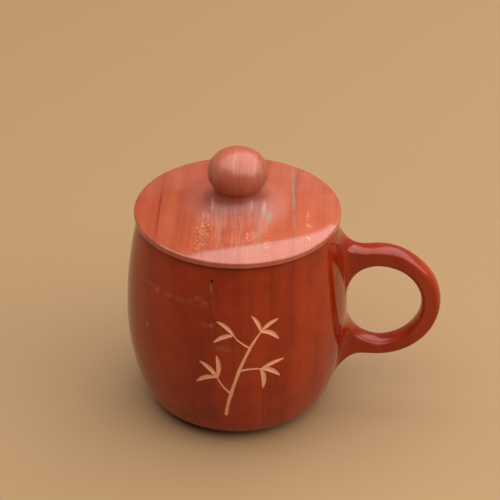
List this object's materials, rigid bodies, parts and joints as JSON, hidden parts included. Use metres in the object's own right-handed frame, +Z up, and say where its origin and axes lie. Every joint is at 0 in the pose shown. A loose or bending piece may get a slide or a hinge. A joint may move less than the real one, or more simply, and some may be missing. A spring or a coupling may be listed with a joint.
{
  "type": "lidded tea cup",
  "caption": "Barrel-shaped stone tea cup with a ring handle carved from the same block and a loose disc lid with a ball knob and a centring spigot.",
  "frame": {"origin": "centre of the flat base the cup stands on", "axes": "+Z up along the cup's axis, +X from the axis towards the ring handle, +Y to the back"},
  "size_m": [0.1245, 0.0876, 0.1115],
  "materials": {
    "cup_stone": "polished red-brown banded stone",
    "lid_stone": "polished red-brown banded stone"
  },
  "bodies": {
    "cup": {"cup": "cup_stone"},
    "lid": {"lid": "lid_stone"}
  },
  "joints": [
    {"name": "lid_lift", "type": "slide", "parent": "cup", "child": "lid", "axis": [0, 0, 1], "range_m": [0, 0.1]}
  ]
}
